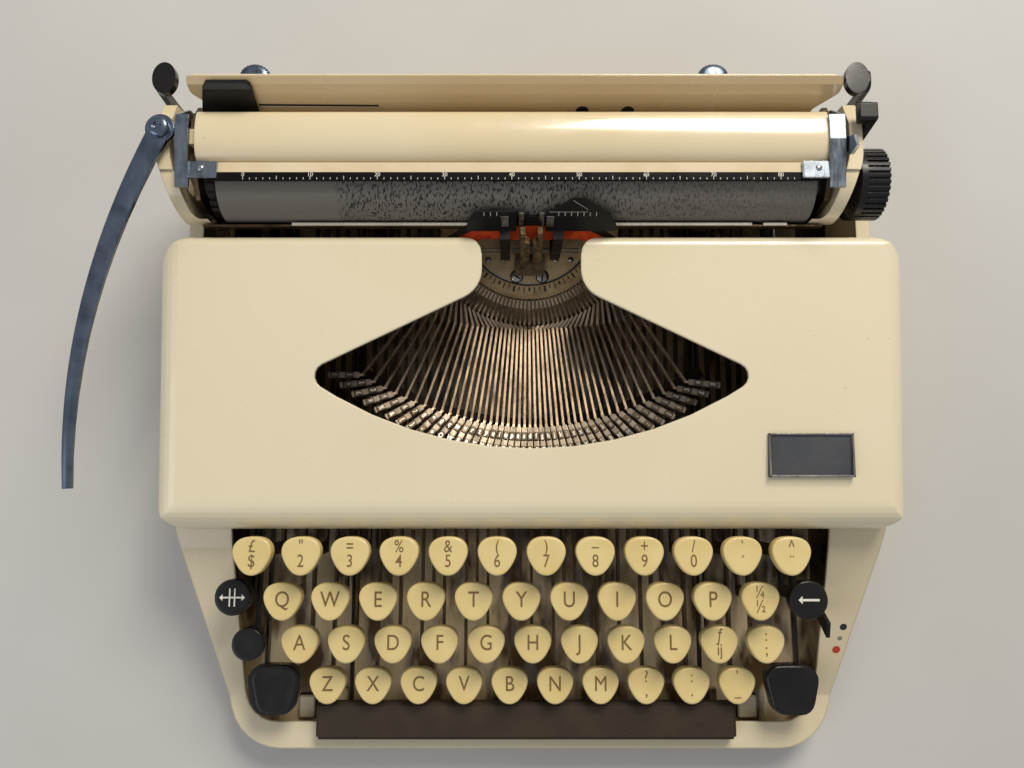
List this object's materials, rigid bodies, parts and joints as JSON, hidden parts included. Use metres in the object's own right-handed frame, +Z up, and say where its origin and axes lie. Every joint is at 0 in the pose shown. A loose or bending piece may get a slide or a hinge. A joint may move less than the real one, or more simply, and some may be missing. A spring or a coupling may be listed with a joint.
{
  "type": "portable typewriter",
  "caption": "Ultra-portable manual typewriter in a cream casing, with moving carriage, platen, keys, typebar, paper bail and return lever.",
  "frame": {"origin": "centre of the bounding box in plan, on the surface that the rubber feet stand on", "axes": "+X to the typist's right, +Y to the rear, +Z up"},
  "size_m": [0.3172, 0.2815, 0.098],
  "materials": {
    "casing_cream": "gloss",
    "keycap_cream": "gloss",
    "black_plastic": "gloss",
    "black_paint": "satin",
    "steel": "satin",
    "chrome": "polished",
    "bronze": "satin",
    "rubber": "matt",
    "platen_rubber": "worn matt",
    "ribbon_cloth": "matt",
    "felt": "matt",
    "badge": "satin",
    "space_brown": "fine texture",
    "blued_steel": "satin"
  },
  "bodies": {
    "casing": {"base_shell": "casing_cream", "rubber_feet": "rubber", "top_cover": "casing_cream", "badge_plate": "badge", "main_frame": "steel", "key_lever_shaft": "steel", "key_comb": "steel", "carriage_rail": "steel", "ribbon_runs": "ribbon_cloth", "card_holders": "black_paint", "bell": "chrome"},
    "type_basket": {"type_segment": "steel", "segment_plate": "bronze", "typebars": "chrome", "typebar_rest": "felt", "type_guide": "bronze"},
    "typebar": {"moving_typebar": "chrome"},
    "vibrator": {"ribbon_vibrator": "bronze", "ribbon_span": "ribbon_cloth"},
    "spool_left": {"ribbon_spool_left": "steel"},
    "spool_right": {"ribbon_spool_right": "steel"},
    "selector": {"ribbon_selector": "black_plastic"},
    "spacer": {"space_bar": "space_brown"},
    "shift": {"shift_keys": "black_plastic"},
    "shift_lock": {"shift_lock_key": "black_plastic"},
    "margin_release": {"margin_release_key": "black_plastic"},
    "backspace": {"backspace_key": "black_plastic"},
    "number_row": {"number_row_keys": "keycap_cream"},
    "upper_row": {"upper_row_keys": "keycap_cream"},
    "lower_row": {"lower_row_keys": "keycap_cream"},
    "home_key_1": {"home_key_1": "keycap_cream"},
    "home_key_2": {"home_key_2": "keycap_cream"},
    "home_key_3": {"home_key_3": "keycap_cream"},
    "home_key_4": {"home_key_4": "keycap_cream"},
    "home_key_5": {"home_key_5": "keycap_cream"},
    "home_key_6": {"home_key_6": "keycap_cream"},
    "home_key_7": {"home_key_7": "keycap_cream"},
    "home_key_8": {"home_key_8": "keycap_cream"},
    "home_key_9": {"home_key_9": "keycap_cream"},
    "home_key_10": {"home_key_10": "keycap_cream"},
    "home_key_11": {"home_key_11": "keycap_cream"},
    "drum": {"mainspring_drum": "steel"},
    "escapement": {"escapement_wheel": "bronze"},
    "carriage": {"carriage_frame": "steel", "carriage_ends": "casing_cream", "paper_table": "casing_cream", "paper_rest_plate": "casing_cream", "feed_rollers": "rubber"},
    "roller": {"platen": "platen_rubber", "platen_knob": "black_plastic", "ratchet_wheel": "steel"},
    "bail": {"paper_bail": "chrome", "bail_scale": "black_paint"},
    "lever": {"return_lever": "chrome"},
    "paper_release": {"paper_release_lever": "black_plastic"},
    "carriage_release": {"carriage_release_bar": "black_plastic"},
    "stop_left": {"margin_stop_left": "blued_steel"},
    "stop_right": {"margin_stop_right": "blued_steel"},
    "guide": {"paper_guide": "black_paint"},
    "detent": {"detent_lever": "chrome"}
  },
  "joints": [
    {"name": "shift_press", "type": "hinge", "parent": "casing", "child": "shift", "pos_m": [0.01058, 0.095, 0.0095], "axis": [1, 0, 0], "range_deg": [0, 2.6], "stiffness_Nm_per_rad": 6, "springref_deg": -6.88},
    {"name": "basket_shift", "type": "slide", "parent": "casing", "child": "type_basket", "axis": [0, -0.4787, -0.878], "range_m": [0, 0.0065]},
    {"name": "typebar_swing", "type": "hinge", "parent": "type_basket", "child": "typebar", "pos_m": [0.01058, 0.04847, 0.02499], "axis": [-1, 0, 0], "range_deg": [0, 103]},
    {"name": "vibrator_lift", "type": "slide", "parent": "casing", "child": "vibrator", "axis": [0, 0.4787, 0.878], "range_m": [0, 0.008]},
    {"name": "spool_left_turn", "type": "hinge", "parent": "casing", "child": "spool_left", "pos_m": [-0.09442, 0.042, 0.0423], "axis": [0, 0, 1], "continuous": true},
    {"name": "spool_right_turn", "type": "hinge", "parent": "casing", "child": "spool_right", "pos_m": [0.11558, 0.042, 0.0423], "axis": [0, 0, 1], "continuous": true},
    {"name": "ribbon_select", "type": "hinge", "parent": "casing", "child": "selector", "pos_m": [0.13058, -0.076, 0.028], "axis": [1, 0, 0], "range_deg": [0, 22]},
    {"name": "space_press", "type": "hinge", "parent": "casing", "child": "spacer", "pos_m": [0.01058, 0.095, 0.0095], "axis": [1, 0, 0], "range_deg": [0, 1.3], "stiffness_Nm_per_rad": 5, "springref_deg": -5.73},
    {"name": "shift_lock_press", "type": "hinge", "parent": "casing", "child": "shift_lock", "pos_m": [0.01058, 0.095, 0.0095], "axis": [1, 0, 0], "range_deg": [0, 2.6], "stiffness_Nm_per_rad": 1.2, "springref_deg": -5.73},
    {"name": "margin_release_press", "type": "hinge", "parent": "casing", "child": "margin_release", "pos_m": [0.01058, 0.095, 0.0095], "axis": [1, 0, 0], "range_deg": [0, 2.6], "stiffness_Nm_per_rad": 1.2, "springref_deg": -5.73},
    {"name": "backspace_press", "type": "hinge", "parent": "casing", "child": "backspace", "pos_m": [0.01058, 0.095, 0.0095], "axis": [1, 0, 0], "range_deg": [0, 2.6], "stiffness_Nm_per_rad": 1.2, "springref_deg": -5.73},
    {"name": "number_row_press", "type": "hinge", "parent": "casing", "child": "number_row", "pos_m": [0.01058, 0.095, 0.0095], "axis": [1, 0, 0], "range_deg": [0, 2.6], "stiffness_Nm_per_rad": 6, "springref_deg": -5.73},
    {"name": "upper_row_press", "type": "hinge", "parent": "casing", "child": "upper_row", "pos_m": [0.01058, 0.095, 0.0095], "axis": [1, 0, 0], "range_deg": [0, 2.6], "stiffness_Nm_per_rad": 6, "springref_deg": -5.73},
    {"name": "lower_row_press", "type": "hinge", "parent": "casing", "child": "lower_row", "pos_m": [0.01058, 0.095, 0.0095], "axis": [1, 0, 0], "range_deg": [0, 2.6], "stiffness_Nm_per_rad": 6, "springref_deg": -5.73},
    {"name": "home_key_1_press", "type": "hinge", "parent": "casing", "child": "home_key_1", "pos_m": [0.01058, 0.095, 0.0095], "axis": [1, 0, 0], "range_deg": [0, 2.6], "stiffness_Nm_per_rad": 1.2, "springref_deg": -5.73},
    {"name": "home_key_2_press", "type": "hinge", "parent": "casing", "child": "home_key_2", "pos_m": [0.01058, 0.095, 0.0095], "axis": [1, 0, 0], "range_deg": [0, 2.6], "stiffness_Nm_per_rad": 1.2, "springref_deg": -5.73},
    {"name": "home_key_3_press", "type": "hinge", "parent": "casing", "child": "home_key_3", "pos_m": [0.01058, 0.095, 0.0095], "axis": [1, 0, 0], "range_deg": [0, 2.6], "stiffness_Nm_per_rad": 1.2, "springref_deg": -5.73},
    {"name": "home_key_4_press", "type": "hinge", "parent": "casing", "child": "home_key_4", "pos_m": [0.01058, 0.095, 0.0095], "axis": [1, 0, 0], "range_deg": [0, 2.6], "stiffness_Nm_per_rad": 1.2, "springref_deg": -5.73},
    {"name": "home_key_5_press", "type": "hinge", "parent": "casing", "child": "home_key_5", "pos_m": [0.01058, 0.095, 0.0095], "axis": [1, 0, 0], "range_deg": [0, 2.6], "stiffness_Nm_per_rad": 1.2, "springref_deg": -5.73},
    {"name": "home_key_6_press", "type": "hinge", "parent": "casing", "child": "home_key_6", "pos_m": [0.01058, 0.095, 0.0095], "axis": [1, 0, 0], "range_deg": [0, 2.6], "stiffness_Nm_per_rad": 1.2, "springref_deg": -5.73},
    {"name": "home_key_7_press", "type": "hinge", "parent": "casing", "child": "home_key_7", "pos_m": [0.01058, 0.095, 0.0095], "axis": [1, 0, 0], "range_deg": [0, 2.6], "stiffness_Nm_per_rad": 1.2, "springref_deg": -5.73},
    {"name": "home_key_8_press", "type": "hinge", "parent": "casing", "child": "home_key_8", "pos_m": [0.01058, 0.095, 0.0095], "axis": [1, 0, 0], "range_deg": [0, 2.6], "stiffness_Nm_per_rad": 1.2, "springref_deg": -5.73},
    {"name": "home_key_9_press", "type": "hinge", "parent": "casing", "child": "home_key_9", "pos_m": [0.01058, 0.095, 0.0095], "axis": [1, 0, 0], "range_deg": [0, 2.6], "stiffness_Nm_per_rad": 1.2, "springref_deg": -5.73},
    {"name": "home_key_10_press", "type": "hinge", "parent": "casing", "child": "home_key_10", "pos_m": [0.01058, 0.095, 0.0095], "axis": [1, 0, 0], "range_deg": [0, 2.6], "stiffness_Nm_per_rad": 1.2, "springref_deg": -5.73},
    {"name": "home_key_11_press", "type": "hinge", "parent": "casing", "child": "home_key_11", "pos_m": [0.01058, 0.095, 0.0095], "axis": [1, 0, 0], "range_deg": [0, 2.6], "stiffness_Nm_per_rad": 1.2, "springref_deg": -5.73},
    {"name": "carriage_slide", "type": "slide", "parent": "casing", "child": "carriage", "axis": [1, 0, 0], "range_m": [-0.104, 0.11]},
    {"name": "drum_turn", "type": "hinge", "parent": "casing", "child": "drum", "pos_m": [-0.08942, 0.11, 0.027], "axis": [0, 1, 0], "range_deg": [-426.6, 451.2]},
    {"name": "escapement_turn", "type": "hinge", "parent": "casing", "child": "escapement", "pos_m": [0.04058, 0.112, 0.027], "axis": [0, 1, 0], "range_deg": [-485.8, 459.4]},
    {"name": "platen_turn", "type": "hinge", "parent": "carriage", "child": "roller", "pos_m": [0.01058, 0.0897, 0.0693], "axis": [1, 0, 0], "continuous": true},
    {"name": "bail_lift", "type": "hinge", "parent": "carriage", "child": "bail", "pos_m": [0.01058, 0.113, 0.076], "axis": [1, 0, 0], "range_deg": [-30, 0]},
    {"name": "return_sweep", "type": "hinge", "parent": "carriage", "child": "lever", "pos_m": [-0.12952, 0.104, 0.089], "axis": [0, 0, 1], "range_deg": [0, 25], "stiffness_Nm_per_rad": 0.3, "springref_deg": -11.46},
    {"name": "paper_release_pull", "type": "hinge", "parent": "carriage", "child": "paper_release", "pos_m": [0.13658, 0.106, 0.078], "axis": [1, 0, 0], "range_deg": [0, 14]},
    {"name": "carriage_release_pull", "type": "hinge", "parent": "carriage", "child": "carriage_release", "pos_m": [0.01058, 0.122, 0.052], "axis": [1, 0, 0], "range_deg": [0, 6], "stiffness_Nm_per_rad": 0.5, "springref_deg": -17.19},
    {"name": "margin_left_slide", "type": "slide", "parent": "carriage", "child": "stop_left", "axis": [1, 0, 0], "range_m": [-0.01, 0.09]},
    {"name": "margin_right_slide", "type": "slide", "parent": "carriage", "child": "stop_right", "axis": [1, 0, 0], "range_m": [-0.09, 0.03]},
    {"name": "paper_guide_slide", "type": "slide", "parent": "carriage", "child": "guide", "axis": [1, 0, 0], "range_m": [0, 0.046]},
    {"name": "detent_swing", "type": "hinge", "parent": "carriage", "child": "detent", "pos_m": [0.12958, 0.1, 0.08], "axis": [1, 0, 0], "range_deg": [-10, 0]}
  ],
  "couplings": [
    {"joint": "basket_shift", "follows": "shift_press", "m_per_rad": 0.14324},
    {"joint": "typebar_swing", "follows": "home_key_6_press", "ratio": 39.615},
    {"joint": "vibrator_lift", "follows": "home_key_6_press", "m_per_rad": 0.17629},
    {"joint": "spool_right_turn", "follows": "spool_left_turn", "ratio": 1.3182},
    {"joint": "drum_turn", "follows": "carriage_slide", "rad_per_m": 71.429},
    {"joint": "escapement_turn", "follows": "carriage_slide", "rad_per_m": -76.923}
  ]
}
